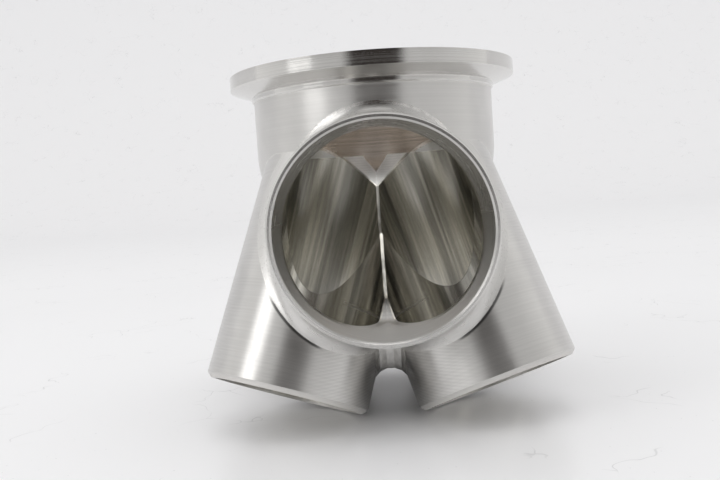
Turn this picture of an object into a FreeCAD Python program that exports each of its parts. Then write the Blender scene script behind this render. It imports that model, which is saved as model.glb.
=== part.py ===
"""Exhaust merge collector: four inlet legs, a round outlet with a V-band flange, and a side port.

Frame: +Z runs out of the outlet along its axis, -Y points out of the side port, and the origin is the
centre of the outlet flange's mating face. Millimetres and degrees.
"""
import FreeCAD, Part
import Sketcher
import math
import os

os.makedirs("parts", exist_ok=True)
doc = FreeCAD.newDocument("exhaust_collector")

# Driving sizes: alias, value, what it is

SIZES = (
    ("flange_diameter", "90.4", "V-band flange for 3 in tube, over the rim"),
    ("flange_rim", "4", "height of the rim's straight edge"),
    ("flange_cone", "20", "slope of the clamping face, degrees"),
    ("flange_hub_diameter", "77.4", "hub that the clamping face runs down to"),
    ("flange_height", "8", "mating face to the joint with the neck"),
    ("register_diameter", "81", "locating recess in the mating face"),
    ("register_depth", "1.6", "depth of that recess"),
    ("neck_diameter", "76.2", "outlet tube, outside"),
    ("outlet_bore", "66.3", "outlet tube, inside"),
    ("neck_straight", "25", "mating face down to where the neck turns in"),
    ("chamber_corner", "22.5", "inside radius of the neck's dished lower end"),
    ("joint_bevel", "0.4", "small bevel on the edges at each round joint"),
    ("leg_diameter", "48.26", "1.5 in pipe, outside"),
    ("leg_wall", "2.77", "wall of that pipe"),
    ("leg_clearance", "6.87", "side of a leg's end to the middle plane beside it"),
    ("leg_end_drop", "96.07", "mating face down to the centre of a leg's end"),
    ("merge_focus", "1.06", "mating face up to where the axes of the four legs would meet"),
    ("leg_bevel", "1.3", "weld-prep bevel round each leg's end"),
    ("divider_land", "1", "flat that blunts the edge where two neighbouring bores meet"),
    ("valley_radius", "5.5", "ball radius of the valleys between the legs"),
    ("valley_bite", "0.15", "how far the valley surface cuts into the legs"),
    ("port_diameter", "60.33", "side port, 2 in pipe, outside"),
    ("port_wall", "1.65", "wall of that pipe"),
    ("port_drop", "48.3", "mating face down to the side port's axis"),
    ("port_reach", "59.8", "outlet axis out to the side port's rim"),
    ("port_depth_limit", "20", "outlet axis out to the blind end of the port's bore"),
    ("port_corner", "8", "corner radius at that blind end"),
    ("ring_length", "5.2", "rim back to the joint between the port's tube and the saddle"),
    ("rim_bevel", "0.5", "bevels of the port's rim, inside and out"),
    ("core_tip", "0.2", "blunts the thin front tips of the merge core"),
    ("saddle_fillet", "5.5", "radius rolled round the foot of the port's tube"),
    ("saddle_lip", "0.4", "how far the edge of that fillet stands proud of the legs"),
)

sheet = doc.addObject("Spreadsheet::Sheet", "dims")
for row, (alias, value, note) in enumerate(SIZES, start=1):
    sheet.set(f"A{row}", alias)
    sheet.set(f"B{row}", value)
    sheet.set(f"C{row}", note)
    sheet.setAlias(f"B{row}", alias)
doc.recompute()


def size(alias):
    """The value of one cell, for the pieces that are shaped in code."""
    return float(sheet.get(alias))


def bind(feature, **sizes):
    """Tie properties of a feature to expressions over the sheet's cells."""
    for name, expression in sizes.items():
        feature.setExpression(name, expression)
    return feature


def solid(kind, name, place=None, **sizes):
    """A Part primitive whose sizes, and place if given, are tied to the sheet."""
    feature = bind(doc.addObject(kind, name), **sizes)
    if place:
        feature.setExpression("Placement", place)
    return feature


def at_height(expression):
    """A placement expression for something that stands on the outlet's axis."""
    return f"placement(vector(0; 0; {expression}); rotation(vector(0; 0; 1); 0))"


def circle_edge(feature, level, radius=None):
    """Name of the feature's circular edge at a height, and of a radius where two share the height."""
    for number, edge in enumerate(feature.Shape.Edges, start=1):
        round_edge = isinstance(edge.Curve, Part.Circle)
        if round_edge and abs(edge.Curve.Center.z - level) < 1e-6:
            if radius is None or abs(edge.Curve.Radius - radius) < 1e-6:
                return f"Edge{number}"
    raise ValueError("no such edge on " + feature.Label)


def turned_bar(name, radius, height, corner, corner_kind="PartDesign::Fillet"):
    """A round bar along +Z from local height 0, with a fillet or chamfer round its lower end."""
    body = doc.addObject("PartDesign::Body", name)
    bar = bind(body.newObject("PartDesign::AdditiveCylinder", name + "_bar"), Radius=radius, Height=height)
    doc.recompute()
    end = body.newObject(corner_kind, name + "_corner")
    end.Base = (bar, [circle_edge(bar, 0)])
    property_name = "Radius" if corner_kind.endswith("Fillet") else "Size"
    bind(end, **{property_name: corner})
    return body


def turned_profile(name, corners):
    """A ring turned about the outlet's axis from a closed outline of (radius, height) expressions."""
    body = doc.addObject("PartDesign::Body", name)
    upright = [plane for plane in body.Origin.OriginFeatures if plane.Role == "XZ_Plane"][0]
    sketch = body.newObject("Sketcher::SketchObject", name + "_profile")
    sketch.AttachmentSupport = (upright, [""])
    sketch.MapMode = "FlatFace"
    count = len(corners)
    start = [FreeCAD.Vector(10 + step, step * step, 0) for step in range(count)]
    for step in range(count):
        sketch.addGeometry(Part.LineSegment(start[step], start[(step + 1) % count]), False)
    for step in range(count):
        sketch.addConstraint(Sketcher.Constraint("Coincident", step, 2, (step + 1) % count, 1))
    for step, (radius, level) in enumerate(corners):
        for axis, expression, value in (("DistanceX", radius, start[step].x), ("DistanceY", level, start[step].y)):
            index = sketch.addConstraint(Sketcher.Constraint(axis, -1, 1, step, 1, value))
            sketch.renameConstraint(index, f"{axis}_{step}")
            sketch.setExpression(f"Constraints.{axis}_{step}", expression)
    turn = body.newObject("PartDesign::Revolution", name + "_turn")
    turn.Profile = sketch
    turn.ReferenceAxis = (sketch, ["V_Axis"])
    turn.Angle = 360
    return body


def fuse(name, shapes):
    feature = doc.addObject("Part::MultiFuse", name)
    feature.Shapes = shapes
    return feature


def cut(name, base, tool):
    feature = doc.addObject("Part::Cut", name)
    feature.Base = base
    feature.Tool = tool
    return feature


def common(name, base, tool):
    feature = doc.addObject("Part::Common", name)
    feature.Base = base
    feature.Tool = tool
    return feature


# Places that several pieces share

LEG_SPREAD = "(dims.leg_diameter / 2 + dims.leg_clearance)"
LEG_RISE = "(dims.leg_end_drop + dims.merge_focus)"
LEG_LEAN = f"atan({LEG_SPREAD} / {LEG_RISE})"
LEG_TILT = f"atan(sqrt(2) * {LEG_SPREAD} / {LEG_RISE})"
LEG_LENGTH = f"{LEG_RISE} / cos({LEG_TILT})"
LEG_DEPTH = "(dims.leg_end_drop + dims.leg_diameter)"
NECK_WALL = "(dims.neck_diameter - dims.outlet_bore) / 2"
NECK_CORNER = f"dims.chamber_corner + {NECK_WALL}"
RING_ROOT = "dims.port_reach - dims.ring_length"
PORT_FRAME = "placement(vector(0; 0; -dims.port_drop); rotation(vector(1; 0; 0); 90))"
ACROSS = FreeCAD.Vector(1, 0, 0)
ALONG = FreeCAD.Vector(0, 1, 0)
LEGS = (("front_left", -1, -1), ("front_right", 1, -1), ("rear_left", -1, 1), ("rear_right", 1, 1))


def shifted(place, expression):
    """A placement expression moved along its own axis."""
    return f"{place} * placement(vector(0; 0; {expression}); rotation(vector(0; 0; 1); 0))"


def leg_frame(side, way):
    """Placement of a leg: its origin at the end's centre, its axis up into the merge."""
    return (
        f"placement(vector({side} * {LEG_SPREAD}; {way} * {LEG_SPREAD}; -dims.leg_end_drop); "
        f"rotation(vector({way}; {-side}; 0); {LEG_TILT}))"
    )


# Outlet flange: rim, sloped clamping face, short hub, and a register in the mating face

flange = turned_profile("outlet_flange", (
    ("dims.outlet_bore / 2", "-dims.register_depth"),
    ("dims.register_diameter / 2", "-dims.register_depth"),
    ("dims.register_diameter / 2", "0"),
    ("dims.flange_diameter / 2", "0"),
    ("dims.flange_diameter / 2", "-dims.flange_rim"),
    ("dims.flange_hub_diameter / 2",
     "-dims.flange_rim - (dims.flange_diameter - dims.flange_hub_diameter) / 2 * tan(dims.flange_cone)"),
    ("dims.flange_hub_diameter / 2", "-dims.flange_height + dims.joint_bevel"),
    ("dims.flange_hub_diameter / 2 - dims.joint_bevel", "-dims.flange_height"),
    ("dims.outlet_bore / 2", "-dims.flange_height"),
))

# Tools for the two round passages: the merge chamber with its dished floor, and the side port's bore

chamber = turned_bar("merge_chamber", "dims.outlet_bore / 2", "dims.neck_straight + dims.chamber_corner",
                     "dims.chamber_corner")
chamber.setExpression("Placement", at_height("-dims.neck_straight - dims.chamber_corner"))
port_bore = turned_bar("port_bore", "dims.port_diameter / 2 - dims.port_wall", "dims.port_reach",
                       "dims.port_corner")
port_bore.setExpression("Placement", shifted(PORT_FRAME, "dims.port_depth_limit"))

# Blank of the neck

neck_blank = turned_bar("neck_blank", "dims.neck_diameter / 2",
                        f"dims.neck_straight + {NECK_CORNER} - dims.flange_height", NECK_CORNER)
neck_blank.setExpression("Placement", at_height(f"-dims.neck_straight - ({NECK_CORNER})"))

# Lands: on each middle plane the section of a neighbouring bore, as thick as the blunt edge is wide

BORE_RADIUS = "dims.leg_diameter / 2 - dims.leg_wall"
lands = {}
for turns, name in enumerate(("rear", "left", "front", "right")):
    level = f"dims.merge_focus - dims.divider_land / 2 / tan({LEG_LEAN})"
    section = solid("Part::Ellipse", "land_section_" + name,
                    f"placement(vector(0; 0; 0); rotation(vector(0; 0; 1); {90 * turns})) * "
                    f"placement(vector(-dims.divider_land / 2; dims.divider_land / 2; {level}); "
                    f"rotation(vector(1; 0; 0); {LEG_LEAN})) * "
                    "placement(vector(0; 0; 0); rotation(vector(0; 1; 0); 90))",
                    MajorRadius=f"({BORE_RADIUS}) / (tan({LEG_LEAN}) * cos({LEG_TILT}))",
                    MinorRadius=BORE_RADIUS)
    land = bind(doc.addObject("Part::Extrusion", "land_" + name), LengthFwd="dims.divider_land")
    land.Base = section
    land.DirMode = "Custom"
    land.Dir = FreeCAD.Rotation(FreeCAD.Vector(0, 0, 1), 90 * turns).multVec(ACROSS)
    land.Solid = True
    lands[name] = land

# Inlet legs: pipes mitred where they meet on the two middle planes, and cut off below the neck

leg_blanks = []
leg_bores = []
quarters = {}
legs = []
for name, side, way in LEGS:
    frame = leg_frame(side, way)
    bar = turned_bar("bar_" + name, "dims.leg_diameter / 2", LEG_LENGTH, "dims.leg_bevel", "PartDesign::Chamfer")
    bar.setExpression("Placement", frame)
    across = "0" if side > 0 else "-" + LEG_DEPTH
    along = "0" if way > 0 else "-" + LEG_DEPTH
    quarter = solid("Part::Box", "quarter_" + name,
                    f"placement(vector({across}; {along}; -{LEG_DEPTH}); rotation(vector(0; 0; 1); 0))",
                    Length=LEG_DEPTH, Width=LEG_DEPTH, Height=f"{LEG_DEPTH} - dims.neck_straight")
    quarters[name] = quarter
    blank = common("blank_" + name, bar, quarter)
    bore = solid("Part::Cylinder", "bore_" + name, shifted(frame, "-dims.leg_diameter"),
                 Radius=BORE_RADIUS, Height=f"{LEG_LENGTH} + dims.leg_diameter")
    opened = cut("opened_" + name, blank, bore)
    leg = cut("merging_" + name, opened, chamber)
    leg = cut("blunted_across_" + name, leg, lands["rear" if way > 0 else "front"])
    leg = cut("blunted_along_" + name, leg, lands["right" if side > 0 else "left"])
    if way < 0:
        leg = cut("ported_" + name, leg, port_bore)
    leg.Label = "inlet_leg_" + name
    leg_blanks.append(blank)
    leg_bores.append(bore)
    legs.append(leg)
all_legs = fuse("all_legs", leg_blanks)
all_bores = fuse("all_bores", leg_bores)
doc.recompute()

# Side port: its tube, from the blind end of the bore out to the joint with the rim's ring

port_tube = solid("Part::Cylinder", "port_tube", shifted(PORT_FRAME, "dims.port_depth_limit"),
                  Radius="dims.port_diameter / 2", Height=f"{RING_ROOT} - dims.port_depth_limit")
doc.recompute()

# Merge core: the divider in the middle and the rounded valleys between the legs

BALL = size("valley_radius")
BALL_SIDES = 16
TRACK_RADIUS = size("leg_diameter") / 2 + BALL - size("valley_bite")
# Each valley: the normal of its middle plane, and one of the two legs beside it
VALLEYS = ((ACROSS, "front_right"), (ACROSS, "rear_right"), (ALONG, "rear_left"), (ALONG, "rear_right"))


def leg_line(name):
    """A leg's end centre and the unit vector up its axis."""
    place = doc.getObject("bar_" + name).Placement
    return place.Base, place.Rotation.multVec(FreeCAD.Vector(0, 0, 1))


def highest_ball():
    """Where the ball touches all four legs at once, on the outlet's axis below the divider."""
    base, up = leg_line("rear_right")
    along = base.dot(up)
    square = 1 - up.z ** 2
    linear = base.z - up.z * along
    rest = base.dot(base) - along ** 2 - TRACK_RADIUS ** 2
    return FreeCAD.Vector(0, 0, (linear - (linear ** 2 - square * rest) ** 0.5) / square)


def cutter_outline(centre, along, across):
    """The ball's outline as a regular polygon square to its track, with flats that touch the true circle."""
    wide = across.normalize()
    deep = along.cross(wide).normalize()
    corners = []
    for step in range(BALL_SIDES + 1):
        turn = math.pi * (2 * step + 1) / BALL_SIDES
        radius = BALL / math.cos(math.pi / BALL_SIDES)
        corners.append(centre + wide * (radius * math.cos(turn)) + deep * (radius * math.sin(turn)))
    return Part.makePolygon(corners)


def valley(normal, name):
    """The fill of one valley and the space that the ball sweeps along it.

    The ball rolls between a leg and its mirror image, so its centre keeps to the ellipse in which a wider
    cylinder about the leg's axis cuts the middle plane. Its lines of contact with the two legs lie in two
    flat planes, so a wedge between those planes bounds the fill.
    """
    base, up = leg_line(name)
    rise = up.dot(normal)
    centre = base - up * (base.dot(normal) / rise)
    down = (normal * rise - up).normalize()
    level = normal.cross(down)
    ellipse = Part.Ellipse(centre + down * (TRACK_RADIUS / abs(rise)), centre + level * TRACK_RADIUS, centre)
    plate = Part.Face(Part.Wire(ellipse.toShape())).extrude(normal * (2 * BALL))
    plate.translate(normal * -BALL)

    share = BALL / TRACK_RADIUS
    slope = share * abs(rise) * (1 - rise ** 2) ** 0.5 / (1 - share * rise ** 2)
    reach = 1.1 * TRACK_RADIUS / abs(rise)
    foot = centre + down * reach
    outline = Part.makePolygon([centre, foot + normal * (slope * reach), foot - normal * (slope * reach), centre])
    wedge = Part.Face(outline).extrude(level * (4 * TRACK_RADIUS))
    wedge.translate(level * (-2 * TRACK_RADIUS))

    inner = ellipse.parameter(highest_ball())
    if inner > math.pi:
        inner -= 2 * math.pi
    outer = -math.copysign(math.pi / 2, inner)
    start, end = sorted((inner, outer))
    track = Part.Wire(ellipse.toShape(start, end))
    section = cutter_outline(ellipse.value(start), ellipse.tangent(start)[0], normal)
    swept = track.makePipeShell([section], True, False)
    return plate.common(wedge), swept


fills, tracks = zip(*(valley(normal, name) for normal, name in VALLEYS))
REACH = size("leg_end_drop") + size("leg_diameter")
below_neck = Part.makeBox(
    4 * REACH, 4 * REACH, REACH - size("neck_straight"), FreeCAD.Vector(-2 * REACH, -2 * REACH, -REACH))
core_shape = fills[0].fuse(list(fills[1:])).common(below_neck)
for track in tracks:
    core_shape = core_shape.cut(track)
core_shape = core_shape.cut(Part.makeSphere(BALL + size("valley_bite"), highest_ball()))
for neighbour in (all_legs, neck_blank, port_bore, port_tube):
    core_shape = core_shape.cut(neighbour.Shape)
core_front = core_shape.optimalBoundingBox().YMin + size("core_tip")
core_shape = core_shape.common(
    Part.makeBox(2 * REACH, 2 * REACH, 2 * REACH, FreeCAD.Vector(-REACH, core_front, -REACH)))
merge_core = doc.addObject("Part::Feature", "merge_core")
merge_core.Shape = core_shape
merge_core.Placement = FreeCAD.Placement()

# Neck: the dished tube over the legs' upper ends, opened by the chamber and the port

neck_shell = cut("neck_shell", neck_blank, chamber)
neck_on_legs = cut("neck_on_legs", neck_shell, all_legs)
neck_over_bores = cut("neck_over_bores", neck_on_legs, all_bores)
neck = cut("outlet_neck", neck_over_bores, port_bore)

# Side port's saddle: the tube's foot, with a fillet rolled along its seam with each front leg and the neck


def seam(shape, radii):
    """Numbers of the edges where cylinders of the two radii meet."""
    found = []
    for number, edge in enumerate(shape.Edges, start=1):
        faces = shape.ancestorsOfType(edge, Part.Face)
        met = {round(face.Surface.Radius, 6) for face in faces if isinstance(face.Surface, Part.Cylinder)}
        if met == {round(radius, 6) for radius in radii}:
            found.append(number)
    return found


def rolled_foot(name, carrier, space):
    """A long port tube filleted into a round carrier, kept only inside a space."""
    through = solid("Part::Cylinder", "through_" + name, shifted(PORT_FRAME, "-dims.leg_end_drop"),
                    Radius="dims.port_diameter / 2", Height=f"{RING_ROOT} + dims.leg_end_drop")
    joined = fuse("joined_" + name, [carrier, through])
    joined.Refine = True
    doc.recompute()
    foot = doc.addObject("Part::Fillet", "foot_" + name)
    foot.Base = joined
    fillet = size("saddle_fillet")
    edges = seam(joined.Shape, (carrier.Radius.Value, through.Radius.Value))
    foot.Edges = [(number, fillet, fillet) for number in edges]
    return common("kept_" + name, foot, space)


round_the_port = solid("Part::Cylinder", "round_the_port", shifted(PORT_FRAME, "dims.port_depth_limit"),
                       Radius="dims.port_diameter / 2 + dims.saddle_fillet",
                       Height=f"{RING_ROOT} - dims.port_depth_limit")
feet = []
for name in ("front_left", "front_right"):
    side, way = next(signs for leg, *signs in LEGS if leg == name)
    carrier = solid("Part::Cylinder", "carrier_" + name, shifted(leg_frame(side, way), "-dims.leg_end_drop"),
                    Radius="dims.leg_diameter / 2 + dims.saddle_lip", Height=f"{LEG_LENGTH} + 2 * dims.leg_end_drop")
    feet.append(rolled_foot(name, carrier, common("space_" + name, round_the_port, quarters[name])))
upright = solid("Part::Cylinder", "carrier_neck", at_height("-2 * dims.leg_end_drop"),
                Radius="dims.neck_diameter / 2", Height="3 * dims.leg_end_drop")
over_the_legs = solid("Part::Box", "space_neck",
                      f"placement(vector(-{LEG_DEPTH}; -{LEG_DEPTH}; -dims.neck_straight); "
                      "rotation(vector(0; 0; 1); 0))",
                      Length=f"2 * {LEG_DEPTH}", Width=f"{LEG_DEPTH} - dims.port_depth_limit",
                      Height="dims.neck_straight - dims.flange_height")
feet.append(rolled_foot("neck", upright, over_the_legs))
saddle_blank = fuse("saddle_blank", feet)
saddle_on_legs = cut("saddle_on_legs", saddle_blank, all_legs)
saddle_on_neck = cut("saddle_on_neck", saddle_on_legs, neck_blank)
saddle_on_core = cut("saddle_on_core", saddle_on_neck, merge_core)
saddle = cut("side_port_saddle", saddle_on_core, port_bore)

# Side port's ring: the thin end of the tube, with its bevelled rim

PORT_INSIDE = "dims.port_diameter / 2 - dims.port_wall"
ring = turned_profile("side_port_ring", (
    (PORT_INSIDE, RING_ROOT),
    ("dims.port_diameter / 2 - dims.joint_bevel", RING_ROOT),
    ("dims.port_diameter / 2", f"{RING_ROOT} + dims.joint_bevel"),
    ("dims.port_diameter / 2", "dims.port_reach - dims.rim_bevel"),
    ("dims.port_diameter / 2 - dims.rim_bevel", "dims.port_reach"),
    (f"{PORT_INSIDE} + dims.rim_bevel", "dims.port_reach"),
    (PORT_INSIDE, "dims.port_reach - dims.rim_bevel"),
))
ring.setExpression("Placement", PORT_FRAME)

# Check and write each sub-part

doc.recompute()
sub_parts = [flange, neck, merge_core, *legs, saddle, ring]
for feature in doc.Objects:
    if "Invalid" in feature.State or "Error" in feature.State:
        raise RuntimeError("failed feature: " + feature.Label)
for sub_part in sub_parts:
    shape = sub_part.Shape
    print(sub_part.Label, "solids", len(shape.Solids), "valid", shape.isValid(), "mm3", round(shape.Volume, 1))
    if shape.isNull() or not shape.isValid():
        raise RuntimeError("bad shape: " + sub_part.Label)
for sub_part in sub_parts:
    sub_part.Shape.exportStep(f"parts/{sub_part.Label}.step")
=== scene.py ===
"""Looks of an exhaust merge collector: machined stainless steel on a white table.

Everything is in metres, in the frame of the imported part: +Z runs out of the outlet, -Y out of the side
port, and the origin is the centre of the outlet flange's mating face.
"""
import math

import bpy
from mathutils import Matrix, Vector


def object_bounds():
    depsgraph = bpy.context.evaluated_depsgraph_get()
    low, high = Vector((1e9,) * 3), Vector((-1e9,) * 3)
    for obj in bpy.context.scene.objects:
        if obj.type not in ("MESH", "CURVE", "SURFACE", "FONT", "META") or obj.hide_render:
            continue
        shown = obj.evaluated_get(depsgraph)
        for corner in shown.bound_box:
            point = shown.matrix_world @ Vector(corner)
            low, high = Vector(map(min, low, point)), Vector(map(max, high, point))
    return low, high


bl_info = {
    "name": "Exhaust merge collector",
    "version": (1, 0, 0),
    "blender": (4, 5, 0),
    "location": "View3D > Sidebar > Collector",
    "description": "Dresses the collector's machined pieces in steel and lays the table it stands on",
    "category": "Object",
}

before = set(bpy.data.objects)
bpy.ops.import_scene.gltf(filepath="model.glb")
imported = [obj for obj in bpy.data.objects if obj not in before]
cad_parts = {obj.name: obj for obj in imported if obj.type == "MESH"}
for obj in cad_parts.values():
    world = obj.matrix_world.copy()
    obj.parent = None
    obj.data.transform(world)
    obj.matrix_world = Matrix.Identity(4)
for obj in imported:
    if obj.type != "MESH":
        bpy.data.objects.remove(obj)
CAD_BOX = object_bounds()
TABLE_HEIGHT = CAD_BOX[0].z

MM = 0.001

# Each inlet leg's side of the two middle planes
LEGS = {
    "inlet_leg_front_left": (-1, -1),
    "inlet_leg_front_right": (1, -1),
    "inlet_leg_rear_left": (-1, 1),
    "inlet_leg_rear_right": (1, 1),
}

# A bore's finish ends between these two distances outside its radius
BORE_SKIN = (0.2 * MM, 0.6 * MM)

# How deep the marks of each cut are
TURNED_DEPTH = 0.0015 * MM
CORE_DEPTH = 0.004 * MM
LEG_DEPTH = 0.005 * MM

# The painted shadow line along the step at the port's foot: its distance from the port's axis, and where it
# starts and ends
FOOT_LINE = 36.0 * MM
FOOT_SIDE = (17 * MM, 21 * MM)
FOOT_LOW = (14 * MM, 20 * MM)

# The backdrop's bend and height, and how wide and deep the table is
SWEEP_RADIUS = 0.9
SWEEP_HEIGHT = 2.0
TABLE_SIZE = (24, 14)
TABLE_FORWARD = -5.4

# The dark card: its middle across, its distance, its height on the table, and its width and height
CARD_PLACE = (0.06, -0.95, 0.58)
CARD_SIZE = (0.95, 1.3)

# The camera: place in millimetres, then yaw, pitch and roll in degrees, and the lens
CAMERA_PLACE = (-2.542, -262.84, -37.393)
CAMERA_TURN = (-0.987, -3.555, 3.86)
CAMERA_LENS = 40.11


# Sizes and colours that a user would change


class CollectorSizes(bpy.types.PropertyGroup):
    leg_bore: bpy.props.FloatProperty(
        name="Leg bore", description="Inside radius of an inlet leg", default=21.36 * MM, unit="LENGTH")
    leg_spread: bpy.props.FloatProperty(
        name="Leg spread", description="Leg end centre to each middle plane", default=31.0 * MM,
        unit="LENGTH")
    leg_drop: bpy.props.FloatProperty(
        name="Leg drop", description="Mating face to the centre of a leg's end", default=96.07 * MM,
        unit="LENGTH")
    focus: bpy.props.FloatProperty(
        name="Merge focus", description="Height where the leg axes would meet", default=1.06 * MM,
        unit="LENGTH")
    neck_bore: bpy.props.FloatProperty(
        name="Neck bore", description="Inside radius of the outlet", default=33.15 * MM, unit="LENGTH")
    port_bore: bpy.props.FloatProperty(
        name="Port bore", description="Inside radius of the side port", default=28.515 * MM,
        unit="LENGTH")
    port_drop: bpy.props.FloatProperty(
        name="Port drop", description="Mating face to the port's axis", default=48.3 * MM, unit="LENGTH")


class CollectorFinish(bpy.types.PropertyGroup):
    steel: bpy.props.FloatVectorProperty(
        name="Steel", description="Colour of the cut outside faces", size=3, subtype="COLOR", min=0,
        max=1, default=(0.65, 0.64, 0.622))
    bore_steel: bpy.props.FloatVectorProperty(
        name="Bore steel", description="Colour inside the inlet bores", size=3, subtype="COLOR", min=0,
        max=1, default=(0.56, 0.545, 0.495))
    outlet_steel: bpy.props.FloatVectorProperty(
        name="Outlet steel", description="Colour inside the outlet", size=3, subtype="COLOR", min=0,
        max=1, default=(0.60, 0.54, 0.48))
    # The light colour painted on edges and on the legs' end faces as a highlight
    edge_highlight_steel: bpy.props.FloatVectorProperty(
        name="Edge steel", description="Colour of the worn, bright edges", size=3, subtype="COLOR",
        min=0, max=1, default=(0.78, 0.765, 0.74))


class CollectorStage(bpy.types.PropertyGroup):
    table: bpy.props.FloatVectorProperty(
        name="Table", description="Colour of the table and backdrop", size=3, subtype="COLOR", min=0,
        max=1, default=(0.90, 0.90, 0.91))
    scratch: bpy.props.FloatVectorProperty(
        name="Scratches", description="Colour of the table's scratches", size=3, subtype="COLOR", min=0,
        max=1, default=(0.42, 0.42, 0.43))
    room: bpy.props.FloatVectorProperty(
        name="Room", description="Colour of the light all around", size=3, subtype="COLOR", min=0, max=1,
        default=(1.0, 0.995, 0.99))
    card: bpy.props.FloatVectorProperty(
        name="Dark card", description="Colour of the dark card in front", size=3, subtype="COLOR", min=0,
        max=1, default=(0.04, 0.034, 0.031))
    panel_width: bpy.props.FloatProperty(
        name="Panel width", description="Width of the soft light at the left", default=0.42,
        unit="LENGTH")
    panel_height: bpy.props.FloatProperty(
        name="Panel height", description="Height of the soft light at the left", default=0.62,
        unit="LENGTH")
    top_width: bpy.props.FloatProperty(
        name="Top width", description="Width of the soft light above the front", default=0.6,
        unit="LENGTH")
    top_depth: bpy.props.FloatProperty(
        name="Top depth", description="Depth of the soft light above the front", default=0.45,
        unit="LENGTH")
    top_power: bpy.props.FloatProperty(
        name="Top power", description="Power of the soft light above the front", default=1.3,
        unit="POWER")
    panel_power: bpy.props.FloatProperty(
        name="Panel power", description="Power of the soft light at the left", default=1.6, unit="POWER")


# Wiring of the shader nodes


class Wires:
    """A node tree and short calls that add to it; each call gives back the socket it ends in."""

    def __init__(self, tree):
        self.tree = tree

    def add(self, kind, inputs=None, **settings):
        made = self.tree.nodes.new(kind)
        for name, value in settings.items():
            setattr(made, name, value)
        for name, value in (inputs or {}).items():
            self.feed(made.inputs[name], value)
        return made

    def feed(self, socket, value):
        if isinstance(value, bpy.types.NodeSocket):
            self.tree.links.new(value, socket)
        else:
            socket.default_value = value

    def math(self, operation, a, b=0.0):
        return self.add("ShaderNodeMath", {0: a, 1: b}, operation=operation).outputs[0]

    def times(self, a, b):
        return self.math("MULTIPLY", a, b)

    def plus(self, a, b):
        return self.math("ADD", a, b)

    def rest(self, mask):
        """Where a mask isn't."""
        return self.math("SUBTRACT", 1.0, mask)

    def ramp(self, value, low, high, to_low=0.0, to_high=1.0):
        """Smoothly from to_low to to_high as the value goes from low to high."""
        made = self.add("ShaderNodeMapRange", {"Value": value, "From Min": low, "From Max": high,
                                               "To Min": to_low, "To Max": to_high},
                        interpolation_type="SMOOTHSTEP")
        return made.outputs["Result"]

    def mix(self, factor, a, b):
        """From colour a to colour b as the factor goes from 0 to 1."""
        made = self.add("ShaderNodeMix", data_type="RGBA")
        for socket, value in ((made.inputs["Factor"], factor), (made.inputs[6], a), (made.inputs[7], b)):
            self.feed(socket, value)
        return made.outputs[2]

    def shade(self, colour, value):
        """A colour times a value."""
        if isinstance(colour, tuple):
            colour = colour[:3]
        made = self.add("ShaderNodeVectorMath", {0: colour, "Scale": value}, operation="SCALE")
        return made.outputs["Vector"]

    def stretched(self, vector, scale, detail=2.0, rough=0.5):
        """Noise drawn out along the axes with a small scale."""
        spread = self.add("ShaderNodeMapping", {"Vector": vector, "Scale": scale})
        noise = self.add("ShaderNodeTexNoise", {"Vector": spread.outputs[0], "Scale": 1.0, "Detail": detail,
                                                "Roughness": rough})
        return noise.outputs["Fac"]

    def split(self, vector):
        return self.add("ShaderNodeSeparateXYZ", {0: vector}).outputs

    def round_length(self, vector):
        """Distance from the z axis."""
        flat = self.add("ShaderNodeVectorMath", {0: vector, 1: (1, 1, 0)}, operation="MULTIPLY")
        return self.add("ShaderNodeVectorMath", {0: flat.outputs[0]}, operation="LENGTH").outputs["Value"]


def new_group(name, inputs, outputs):
    """A shader node group with the given sockets; gives back its wires, inputs and output node."""
    tree = bpy.data.node_groups.new(name, "ShaderNodeTree")
    for socket, kind, default in inputs:
        made = tree.interface.new_socket(socket, in_out="INPUT", socket_type=kind)
        if default is not None:
            made.default_value = default
    for socket, kind in outputs:
        tree.interface.new_socket(socket, in_out="OUTPUT", socket_type=kind)
    wires = Wires(tree)
    return wires, wires.add("NodeGroupInput").outputs, wires.add("NodeGroupOutput").inputs


VALUE, VECTOR = "NodeSocketFloat", "NodeSocketVector"


def drawn_streaks():
    """Long streaks along the z axis, as a reamer or a boring bar leaves them in a bore."""
    wires, inputs, outputs = new_group(
        "drawn_streaks", [("Position", VECTOR, None), ("Fineness", VALUE, 600.0)],
        [("Broad", VALUE), ("Fine", VALUE)])
    broad = wires.stretched(inputs["Position"], (150, 150, 5), 3, 0.6)
    wires.feed(outputs["Broad"], wires.ramp(broad, 0.38, 0.62))
    spread = wires.add("ShaderNodeCombineXYZ", {0: inputs["Fineness"], 1: inputs["Fineness"], 2: 12.0})
    fine = wires.stretched(inputs["Position"], spread.outputs[0], 3, 0.7)
    wires.feed(outputs["Fine"], wires.ramp(fine, 0.3, 0.7))
    return wires.tree


def ring_marks():
    """Fine grooves round the z axis, from turning."""
    wires, inputs, outputs = new_group(
        "ring_marks", [("Position", VECTOR, None), ("Fineness", VALUE, 1500.0)], [("Groove", VALUE)])
    height = wires.split(inputs["Position"])["Z"]
    place = wires.add("ShaderNodeCombineXYZ", {
        0: wires.times(wires.round_length(inputs["Position"]), inputs["Fineness"]),
        1: wires.times(height, inputs["Fineness"])})
    noise = wires.add("ShaderNodeTexNoise", {"Vector": place.outputs[0], "Scale": 1.0, "Detail": 3.0,
                                             "Roughness": 0.65})
    wires.feed(outputs["Groove"], wires.ramp(noise.outputs["Fac"], 0.3, 0.7))
    return wires.tree


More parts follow.
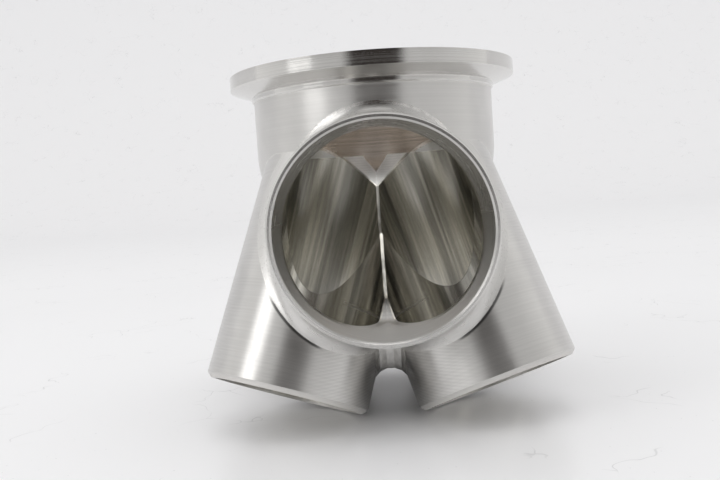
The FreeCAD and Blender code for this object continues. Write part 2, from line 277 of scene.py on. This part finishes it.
def step_lines():
    """Level lines a step apart, left by a ball cutter that walks down the piece, strong in places."""
    wires, inputs, outputs = new_group(
        "step_lines", [("Position", VECTOR, None), ("Step", VALUE, 0.0009)], [("Ridge", VALUE)])
    height = wires.split(inputs["Position"])["Z"]
    wander = wires.stretched(inputs["Position"], (30, 30, 60), 2)
    turns = wires.plus(wires.math("DIVIDE", height, inputs["Step"]), wander)
    wave = wires.math("SINE", wires.times(turns, 2 * math.pi))
    patches = wires.ramp(wires.stretched(inputs["Position"], (55, 55, 14), 3, 0.6), 0.42, 0.62, 0, 0.3)
    sideways = wires.math("ABSOLUTE", wires.split(inputs["Position"])["X"])
    flank = wires.ramp(sideways, 12 * MM, 27 * MM, 1, 0)
    wires.feed(outputs["Ridge"], wires.times(wave, wires.math("MAXIMUM", patches, flank)))
    return wires.tree


def edge_highlights():
    """1 on edges and corners, where the colour takes a painted highlight, fading to 0 away from them,
    broken up a little.
    """
    wires, inputs, outputs = new_group(
        "edge_highlights", [("Position", VECTOR, None), ("Width", VALUE, 0.0005)], [("Highlight", VALUE)])
    round_normal = wires.add("ShaderNodeBevel", {"Radius": inputs["Width"]}, samples=4).outputs[0]
    straight = wires.add("ShaderNodeNewGeometry").outputs["Normal"]
    match = wires.add("ShaderNodeVectorMath", {0: round_normal, 1: straight}, operation="DOT_PRODUCT")
    turned = wires.ramp(match.outputs["Value"], 0.8, 0.99, 1, 0)
    broken = wires.ramp(wires.stretched(inputs["Position"], (350, 350, 350), 3), 0.3, 0.55)
    wires.feed(outputs["Highlight"], wires.times(turned, broken))
    return wires.tree


def handling():
    """Soft clouds and small smears from hands, oil and coolant."""
    wires, inputs, outputs = new_group(
        "handling", [("Position", VECTOR, None)], [("Cloud", VALUE), ("Smear", VALUE)])
    cloud = wires.stretched(inputs["Position"], (28, 28, 28), 4, 0.55)
    wires.feed(outputs["Cloud"], wires.ramp(cloud, 0.3, 0.7))
    smear = wires.stretched(inputs["Position"], (140, 140, 70), 5, 0.7)
    wires.feed(outputs["Smear"], wires.ramp(smear, 0.56, 0.72))
    return wires.tree


EFFECTS = (drawn_streaks, ring_marks, step_lines, edge_highlights, handling)


class SteelMaterial(Wires):
    """A machined steel: its shader, and a position that a Mapping node centres and turns on the piece.

    The cutter's grooves run round the axis, so the steel spreads its reflections along it.
    """

    def __init__(self, name, axis=(0, 0, 1), centre=(0, 0, 0), turn=(0, 0, 0)):
        self.material = bpy.data.materials.new(name)
        self.material.use_nodes = True
        super().__init__(self.material.node_tree)
        self.shader = self.tree.nodes["Principled BSDF"]
        self.shader.inputs["Metallic"].default_value = 1
        self.place = self.add("ShaderNodeTexCoord").outputs["Object"]
        mapping = self.add("ShaderNodeMapping",
                           {"Vector": self.place, "Location": centre, "Rotation": turn},
                           vector_type="TEXTURE")
        self.local = mapping.outputs[0]
        self.shader.inputs["Anisotropic"].default_value = 0.7
        along = self.add("ShaderNodeCombineXYZ", {0: axis[0], 1: axis[1], 2: axis[2]})
        self.feed(self.shader.inputs["Tangent"], along.outputs[0])

    def effect(self, name, place=None):
        """A shared effect at the piece's own position, or at the place given."""
        made = self.add("ShaderNodeGroup", node_tree=bpy.data.node_groups[name])
        self.feed(made.inputs["Position"], place or self.local)
        return made.outputs

    def colour(self, name):
        """One of the finish's colours, with its alpha."""
        return (*getattr(bpy.context.scene.collector_finish, name), 1)

    def inside(self, bore):
        """1 in a bore of this radius round the piece's own axis, 0 outside it."""
        start, end = BORE_SKIN
        return self.ramp(self.round_length(self.local), bore + start, bore + end, 1, 0)

    def port_cut(self):
        """1 on what the side port's cutter left inside the port, 0 elsewhere."""
        sizes = bpy.context.scene.collector_sizes
        at = self.add("ShaderNodeVectorMath", {0: self.place, 1: (0, 0, -sizes.port_drop)},
                      operation="SUBTRACT").outputs[0]
        across = self.add("ShaderNodeVectorMath", {0: at, 1: (1, 0, 1)}, operation="MULTIPLY").outputs[0]
        radius = self.add("ShaderNodeVectorMath", {0: across}, operation="LENGTH").outputs["Value"]
        off = self.math("ABSOLUTE", self.math("SUBTRACT", radius, sizes.port_bore))
        front = self.ramp(self.split(self.place)["Y"], -8 * MM, -2 * MM, 1, 0)
        return self.times(self.ramp(off, 0.15 * MM, 0.4 * MM, 1, 0), front)

    def painted_step_shadow(self):
        """1 on a painted shadow line along the step where the port's foot meets the leg, low on both front
        legs.
        """
        sizes = bpy.context.scene.collector_sizes
        x, y, z = self.split(self.place)
        low = self.math("SUBTRACT", -sizes.port_drop, z)
        radius = self.math("SQRT", self.plus(self.times(x, x), self.times(low, low)))
        off = self.math("ABSOLUTE", self.math("SUBTRACT", radius, FOOT_LINE))
        line = self.ramp(off, 0.1 * MM, 0.8 * MM, 1, 0)
        side = self.ramp(self.math("ABSOLUTE", x), *FOOT_SIDE)
        side = self.times(side, self.ramp(y, -25 * MM, -15 * MM, 1, 0))
        return self.times(line, self.times(side, self.ramp(low, *FOOT_LOW)))

    def finish(self, colour, roughness, height, depth, edge_highlighting=1.0, smearing=0.05, step_shadowing=1.0):
        """Adds the painted highlights on edges and the smears, and wires everything to the shader."""
        edge_highlight = self.times(self.effect("edge_highlights", self.place)["Highlight"], edge_highlighting)
        marks = self.effect("handling", self.place)
        cut = self.port_cut()
        colour = self.mix(cut, colour, self.colour("steel"))
        port_roughness = self.ramp(self.split(self.place)["Z"], -74 * MM, -40 * MM, 0.46, 0.26)
        roughness = self.add("ShaderNodeMix", {0: cut, 2: roughness, 3: port_roughness},
                             data_type="FLOAT").outputs[0]
        # Painted shadow: the colour darkens to a quarter along the step at the port's foot
        step_shadow = self.times(self.painted_step_shadow(), step_shadowing)
        colour = self.shade(colour, self.ramp(step_shadow, 0, 1, 1, 0.25))
        height = self.times(height, self.rest(cut))
        cloudy = self.shade(colour, self.ramp(marks["Cloud"], 0, 1, 0.95, 1.04))
        # Painted highlight: edges and corners take the light edge colour
        self.feed(self.shader.inputs["Base Color"], self.mix(edge_highlight, cloudy, self.colour("edge_highlight_steel")))
        smeared = self.plus(roughness, self.times(marks["Smear"], smearing))
        self.feed(self.shader.inputs["Roughness"], self.plus(smeared, self.times(edge_highlight, -0.06)))
        bump = self.add("ShaderNodeBump", {"Height": height, "Strength": 1.0, "Distance": depth})
        self.feed(self.shader.inputs["Normal"], bump.outputs[0])
        return self.material


def dress(name, material):
    """Gives a CAD node its material."""
    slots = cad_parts[name].data.materials
    slots.clear()
    slots.append(material)


def turned_material(name, roughness, axis=(0, 0, 1), centre=(0, 0, 0), turn=(0, 0, 0), bore=None):
    """Steel turned on a lathe round its own axis; inside the bore radius it takes the outlet's colour."""
    steel = SteelMaterial(name, axis, centre, turn)
    groove = steel.effect("ring_marks")["Groove"]
    lines = steel.effect("step_lines", steel.place)["Ridge"]
    colour = steel.colour("steel")
    rough = steel.ramp(groove, 0, 1, roughness - 0.03, roughness + 0.05)
    if bore:
        inside = steel.inside(bore)
        colour = steel.mix(inside, colour, steel.colour("outlet_steel"))
        lines = steel.times(lines, steel.rest(inside))
        groove = steel.times(groove, steel.ramp(inside, 0, 1, 1, 0.25))
        rough = steel.math("SUBTRACT", rough, steel.times(inside, 0.1))
    colour = steel.shade(colour, steel.ramp(groove, 0, 1, 0.97, 1.02))
    height = steel.plus(steel.times(groove, 0.5), steel.times(lines, 0.6))
    return steel.finish(colour, rough, height, TURNED_DEPTH)


class COLLECTOR_OT_outlet(bpy.types.Operator):
    """Finish the outlet flange and neck"""
    bl_idname = "collector.outlet"
    bl_label = "Outlet flange and neck"

    def execute(self, context):
        bore = context.scene.collector_sizes.neck_bore
        dress("outlet_flange", turned_material("polished_flange", 0.15, bore=bore))
        dress("outlet_neck", turned_material("turned_neck", 0.31, bore=bore))
        return {"FINISHED"}


class COLLECTOR_OT_legs(bpy.types.Operator):
    """Finish the four inlet legs, each round its own axis"""
    bl_idname = "collector.legs"
    bl_label = "Inlet legs"

    def execute(self, context):
        sizes = context.scene.collector_sizes
        for name, (side, back) in LEGS.items():
            end = Vector((side * sizes.leg_spread, back * sizes.leg_spread, -sizes.leg_drop))
            axis = Vector((0, 0, sizes.focus)) - end
            turn = axis.to_track_quat("Z", "Y").to_euler()
            steel = SteelMaterial("milled_" + name, axis.normalized(), end, turn)
            inside = steel.inside(sizes.leg_bore)
            outside = steel.rest(inside)
            streaks = steel.effect("drawn_streaks")
            groove = steel.effect("ring_marks")["Groove"]
            lines = steel.effect("step_lines", steel.place)["Ridge"]

            height = steel.split(steel.place)["Z"]
            bored = steel.shade(steel.colour("bore_steel"), steel.ramp(streaks["Broad"], 0, 1, 0.66, 1.24))
            bored = steel.shade(bored, steel.ramp(streaks["Fine"], 0, 1, 0.84, 1.1))
            # Painted light: the bore steel is lighter towards the open lower end and darker higher up
            bored = steel.shade(bored, steel.ramp(height, -78 * MM, -40 * MM, 1.3, 0.92))
            milled = steel.shade(steel.colour("steel"), steel.ramp(groove, 0, 1, 0.96, 1.02))
            milled = steel.shade(milled, steel.ramp(lines, -1, 1, 0.94, 1.03))
            colour = steel.mix(inside, milled, bored)
            rough = steel.ramp(inside, 0, 1, 0.33, 0.26)
            cut = steel.plus(steel.times(lines, 0.8), steel.times(groove, 0.15))
            drawn = steel.plus(steel.times(streaks["Broad"], 1.6), steel.times(streaks["Fine"], 0.7))
            relief = steel.plus(steel.times(cut, outside), steel.times(drawn, inside))
            # Painted reflection: the leg's end face takes the light edge colour, standing in for the white
            # table reflected in it
            end_highlight = steel.ramp(steel.split(steel.local)["Z"], 0.2 * MM, 1.6 * MM, 1, 0)
            colour = steel.mix(end_highlight, colour, steel.colour("edge_highlight_steel"))
            rough = steel.plus(rough, steel.times(end_highlight, 0.2))
            edge_highlighting = steel.ramp(inside, 0, 1, 1, 0.15)
            smearing = steel.ramp(inside, 0, 1, 0.05, 0.01)
            dress(name, steel.finish(colour, rough, relief, LEG_DEPTH, edge_highlighting, smearing, outside))
        return {"FINISHED"}


class COLLECTOR_OT_core(bpy.types.Operator):
    """Finish the merge core with its knife edges"""
    bl_idname = "collector.core"
    bl_label = "Merge core"

    def execute(self, context):
        steel = SteelMaterial("milled_core")
        lines = steel.effect("step_lines")["Ridge"]
        streaks = steel.effect("drawn_streaks")
        colour = steel.shade(steel.colour("steel"), steel.ramp(streaks["Fine"], 0, 1, 0.86, 1.0))
        # Painted shade: the core darkens towards its rear, deep between the rear bores, and its painted
        # edge highlight fades there too
        depth = steel.split(steel.place)["Y"]
        colour = steel.shade(colour, steel.ramp(depth, 0.5 * MM, 2.5 * MM, 1, 0.22))
        height = steel.plus(lines, steel.times(streaks["Fine"], 0.5))
        rough = steel.ramp(streaks["Broad"], 0, 1, 0.26, 0.34)
        edge_highlighting = steel.ramp(depth, 0.5 * MM, 2.5 * MM, 1, 0)
        dress("merge_core", steel.finish(colour, rough, height, CORE_DEPTH, edge_highlighting, step_shadowing=0.0))
        return {"FINISHED"}


class COLLECTOR_OT_side_port(bpy.types.Operator):
    """Finish the side port's saddle and ring, turned round the port's axis"""
    bl_idname = "collector.side_port"
    bl_label = "Side port"

    def execute(self, context):
        centre = (0, 0, -context.scene.collector_sizes.port_drop)
        turn = (math.radians(90), 0, 0)
        axis = (0, 1, 0)
        dress("side_port_saddle", turned_material("milled_saddle", 0.3, axis, centre, turn))
        dress("side_port_ring", turned_material("turned_ring", 0.25, axis, centre, turn))
        return {"FINISHED"}


class COLLECTOR_OT_stage(bpy.types.Operator):
    """Lay the table, the light and the camera"""
    bl_idname = "collector.stage"
    bl_label = "Table, light and camera"

    def sweep(self, stage):
        """A table top that curves up into the backdrop without a line."""
        bpy.ops.mesh.primitive_plane_add(size=1, location=(0, 0, 0))
        table = bpy.context.object
        table.name = "table_sweep"
        bpy.ops.object.mode_set(mode="EDIT")
        bpy.ops.transform.resize(value=(*TABLE_SIZE, 1))
        bpy.ops.transform.translate(value=(0, TABLE_FORWARD, TABLE_HEIGHT))
        bpy.ops.mesh.select_all(action="DESELECT")
        bpy.ops.object.mode_set(mode="OBJECT")
        mesh = table.data
        back = max(v.co.y for v in mesh.vertices)
        for edge in mesh.edges:
            edge.select = all(mesh.vertices[i].co.y > back - MM for i in edge.vertices)
        for vertex in mesh.vertices:
            vertex.select = vertex.co.y > back - MM
        bpy.ops.object.mode_set(mode="EDIT")
        bpy.ops.mesh.spin(steps=24, angle=math.radians(-90), axis=(1, 0, 0),
                          center=(0, back, TABLE_HEIGHT + SWEEP_RADIUS))
        bpy.ops.mesh.extrude_region_move(TRANSFORM_OT_translate={"value": (0, 0, SWEEP_HEIGHT)})
        bpy.ops.object.mode_set(mode="OBJECT")
        bpy.ops.object.shade_smooth()

        wires = Wires(self.material("white_table"))
        shader = wires.tree.nodes["Principled BSDF"]
        place = wires.add("ShaderNodeTexCoord").outputs["Object"]
        bend = wires.add("ShaderNodeTexNoise",
                         {"Vector": place, "Scale": 30.0, "Detail": 3.0}).outputs["Color"]
        bent = wires.add("ShaderNodeVectorMath", {0: bend, 1: (0.05, 0.05, 0.05), 2: place},
                         operation="MULTIPLY_ADD").outputs[0]
        crack = wires.add("ShaderNodeTexVoronoi", {"Vector": bent, "Scale": 34.0, "Randomness": 1.0},
                          feature="DISTANCE_TO_EDGE")
        thin = wires.ramp(crack.outputs["Distance"], 0.002, 0.010, 1, 0)
        patches = wires.ramp(wires.stretched(place, (26, 26, 26), 3), 0.54, 0.62)
        scratch = wires.times(thin, patches)
        specks = wires.ramp(wires.stretched(place, (900, 900, 900), 1), 0.76, 0.8)
        marks = wires.math("MAXIMUM", scratch, specks)
        worn = wires.mix(wires.times(marks, 0.4), (*stage.table, 1), (*stage.scratch, 1))
        wires.feed(shader.inputs["Base Color"], worn)
        clouds = wires.stretched(place, (9, 9, 9), 2)
        far = wires.ramp(wires.round_length(place), 0.25, 0.6, 0, 0.5)
        near = wires.ramp(clouds, 0.3, 0.7, 0.3, 0.34)
        wires.feed(shader.inputs["Roughness"], wires.plus(near, far))
        shader.inputs["Specular IOR Level"].default_value = 0.35
        table.data.materials.append(bpy.data.materials["white_table"])

    def material(self, name):
        """The node tree of a new material."""
        material = bpy.data.materials.new(name)
        material.use_nodes = True
        return material.node_tree

    def dark_card(self, stage):
        """A dark card behind the camera with soft edges, seen only by the steel."""
        middle, away, height = CARD_PLACE
        bpy.ops.mesh.primitive_plane_add(size=1, location=(middle, away, TABLE_HEIGHT + height),
                                         rotation=(math.radians(90), 0, 0))
        card = bpy.context.object
        card.name = "dark_card"
        bpy.ops.transform.resize(value=(CARD_SIZE[0], 1, CARD_SIZE[1]))
        bpy.ops.object.transform_apply(location=True, rotation=True, scale=True)
        card.visible_camera = False
        card.visible_diffuse = False
        card.visible_shadow = False
        wires = Wires(self.material("card_black"))
        wires.tree.nodes.remove(wires.tree.nodes["Principled BSDF"])
        place = wires.split(wires.add("ShaderNodeTexCoord").outputs["Object"])
        across = wires.math("ABSOLUTE", wires.math("SUBTRACT", place["X"], middle))
        sides = wires.ramp(across, 0.26, 0.46, 1, 0)
        top = wires.ramp(place["Z"], TABLE_HEIGHT + 0.95, TABLE_HEIGHT + 1.2, 1, 0)
        cover = wires.times(sides, top)
        black = wires.add("ShaderNodeEmission", {"Color": (*stage.card, 1), "Strength": 1.0})
        clear = wires.add("ShaderNodeBsdfTransparent")
        blend = wires.add("ShaderNodeMixShader",
                          {"Fac": cover, 1: clear.outputs[0], 2: black.outputs[0]})
        wires.feed(wires.tree.nodes["Material Output"].inputs["Surface"], blend.outputs[0])
        card.data.materials.append(bpy.data.materials["card_black"])

    def room(self, stage):
        """Even white light all around, a little brighter behind and to the sides in the steel."""
        world = bpy.data.worlds.new("studio")
        bpy.context.scene.world = world
        world.use_nodes = True
        wires = Wires(world.node_tree)
        path = wires.add("ShaderNodeLightPath").outputs
        direction = wires.split(wires.add("ShaderNodeTexCoord").outputs["Generated"])
        turned = wires.ramp(direction["Y"], -0.9, 0.6, 0.62, 1.0)
        high = wires.ramp(direction["Z"], 0.45, 1.0, 1.0, 0.72)
        seen = wires.times(turned, high)
        level = wires.add("ShaderNodeMix", data_type="FLOAT")
        wires.feed(level.inputs[0], path["Is Glossy Ray"])
        wires.feed(level.inputs[2], 0.93)
        wires.feed(level.inputs[3], seen)
        background = world.node_tree.nodes["Background"]
        wires.feed(background.inputs["Color"], (*stage.room, 1))
        wires.feed(background.inputs["Strength"], level.outputs[0])

    def panel(self, name, azimuth, elevation, width, height, power):
        """A soft light that faces the collector, from degrees round from the port and up."""
        turn, lift, away = math.radians(azimuth), math.radians(elevation), 1.2
        to = Vector((math.sin(turn) * math.cos(lift), -math.cos(turn) * math.cos(lift), math.sin(lift)))
        lamp = bpy.data.lights.new(name, "AREA")
        lamp.shape = "RECTANGLE"
        lamp.size = width
        lamp.size_y = height
        lamp.energy = power
        made = bpy.data.objects.new(name, lamp)
        bpy.context.scene.collection.objects.link(made)
        middle = (CAD_BOX[0] + CAD_BOX[1]) / 2
        made.location = middle + away * to
        made.rotation_euler = to.to_track_quat("Z", "Y").to_euler()

    def camera(self):
        camera = bpy.data.objects.new("camera", bpy.data.cameras.new("camera"))
        bpy.context.scene.collection.objects.link(camera)
        yaw, pitch, roll = (math.radians(a) for a in CAMERA_TURN)
        forward = Vector((math.sin(yaw) * math.cos(pitch), math.cos(yaw) * math.cos(pitch),
                          math.sin(pitch)))
        right = Vector((math.cos(yaw), -math.sin(yaw), 0))
        down = forward.cross(right)
        across = math.cos(roll) * right + math.sin(roll) * down
        up = math.sin(roll) * right - math.cos(roll) * down
        camera.matrix_world = Matrix((
            (across.x, up.x, -forward.x, CAMERA_PLACE[0] * MM),
            (across.y, up.y, -forward.y, CAMERA_PLACE[1] * MM),
            (across.z, up.z, -forward.z, CAMERA_PLACE[2] * MM),
            (0, 0, 0, 1)))
        camera.data.sensor_width = 36
        camera.data.lens = CAMERA_LENS
        camera.data.clip_start = 0.01
        bpy.context.scene.camera = camera

    def execute(self, context):
        stage = context.scene.collector_stage
        bpy.ops.object.select_all(action="DESELECT")
        self.sweep(stage)
        bpy.ops.object.select_all(action="DESELECT")
        self.dark_card(stage)
        self.room(stage)
        self.panel("left_panel", -56, 28, stage.panel_width, stage.panel_height, stage.panel_power)
        self.panel("top_panel", 4, 64, stage.top_width, stage.top_depth, stage.top_power)
        self.camera()
        context.scene.view_settings.view_transform = "Standard"
        return {"FINISHED"}


class COLLECTOR_PT_panel(bpy.types.Panel):
    bl_label = "Exhaust merge collector"
    bl_idname = "COLLECTOR_PT_panel"
    bl_space_type = "VIEW_3D"
    bl_region_type = "UI"
    bl_category = "Collector"

    def draw(self, context):
        for operator in OPERATORS:
            self.layout.operator(operator.bl_idname)


OPERATORS = (
    COLLECTOR_OT_outlet,
    COLLECTOR_OT_core,
    COLLECTOR_OT_legs,
    COLLECTOR_OT_side_port,
    COLLECTOR_OT_stage,
)
GROUPS = {
    "collector_sizes": CollectorSizes,
    "collector_finish": CollectorFinish,
    "collector_stage": CollectorStage,
}


def register():
    for group in GROUPS.values():
        bpy.utils.register_class(group)
    for name, group in GROUPS.items():
        setattr(bpy.types.Scene, name, bpy.props.PointerProperty(type=group))
    for cls in (*OPERATORS, COLLECTOR_PT_panel):
        bpy.utils.register_class(cls)


def unregister():
    for cls in (COLLECTOR_PT_panel, *reversed(OPERATORS)):
        bpy.utils.unregister_class(cls)
    for name in GROUPS:
        delattr(bpy.types.Scene, name)
    for group in GROUPS.values():
        bpy.utils.unregister_class(group)


def main():
    register()
    for make_effect in EFFECTS:
        make_effect()
    bpy.ops.collector.outlet()
    bpy.ops.collector.core()
    bpy.ops.collector.legs()
    bpy.ops.collector.side_port()
    bpy.ops.collector.stage()


if __name__ == "__main__":
    main()
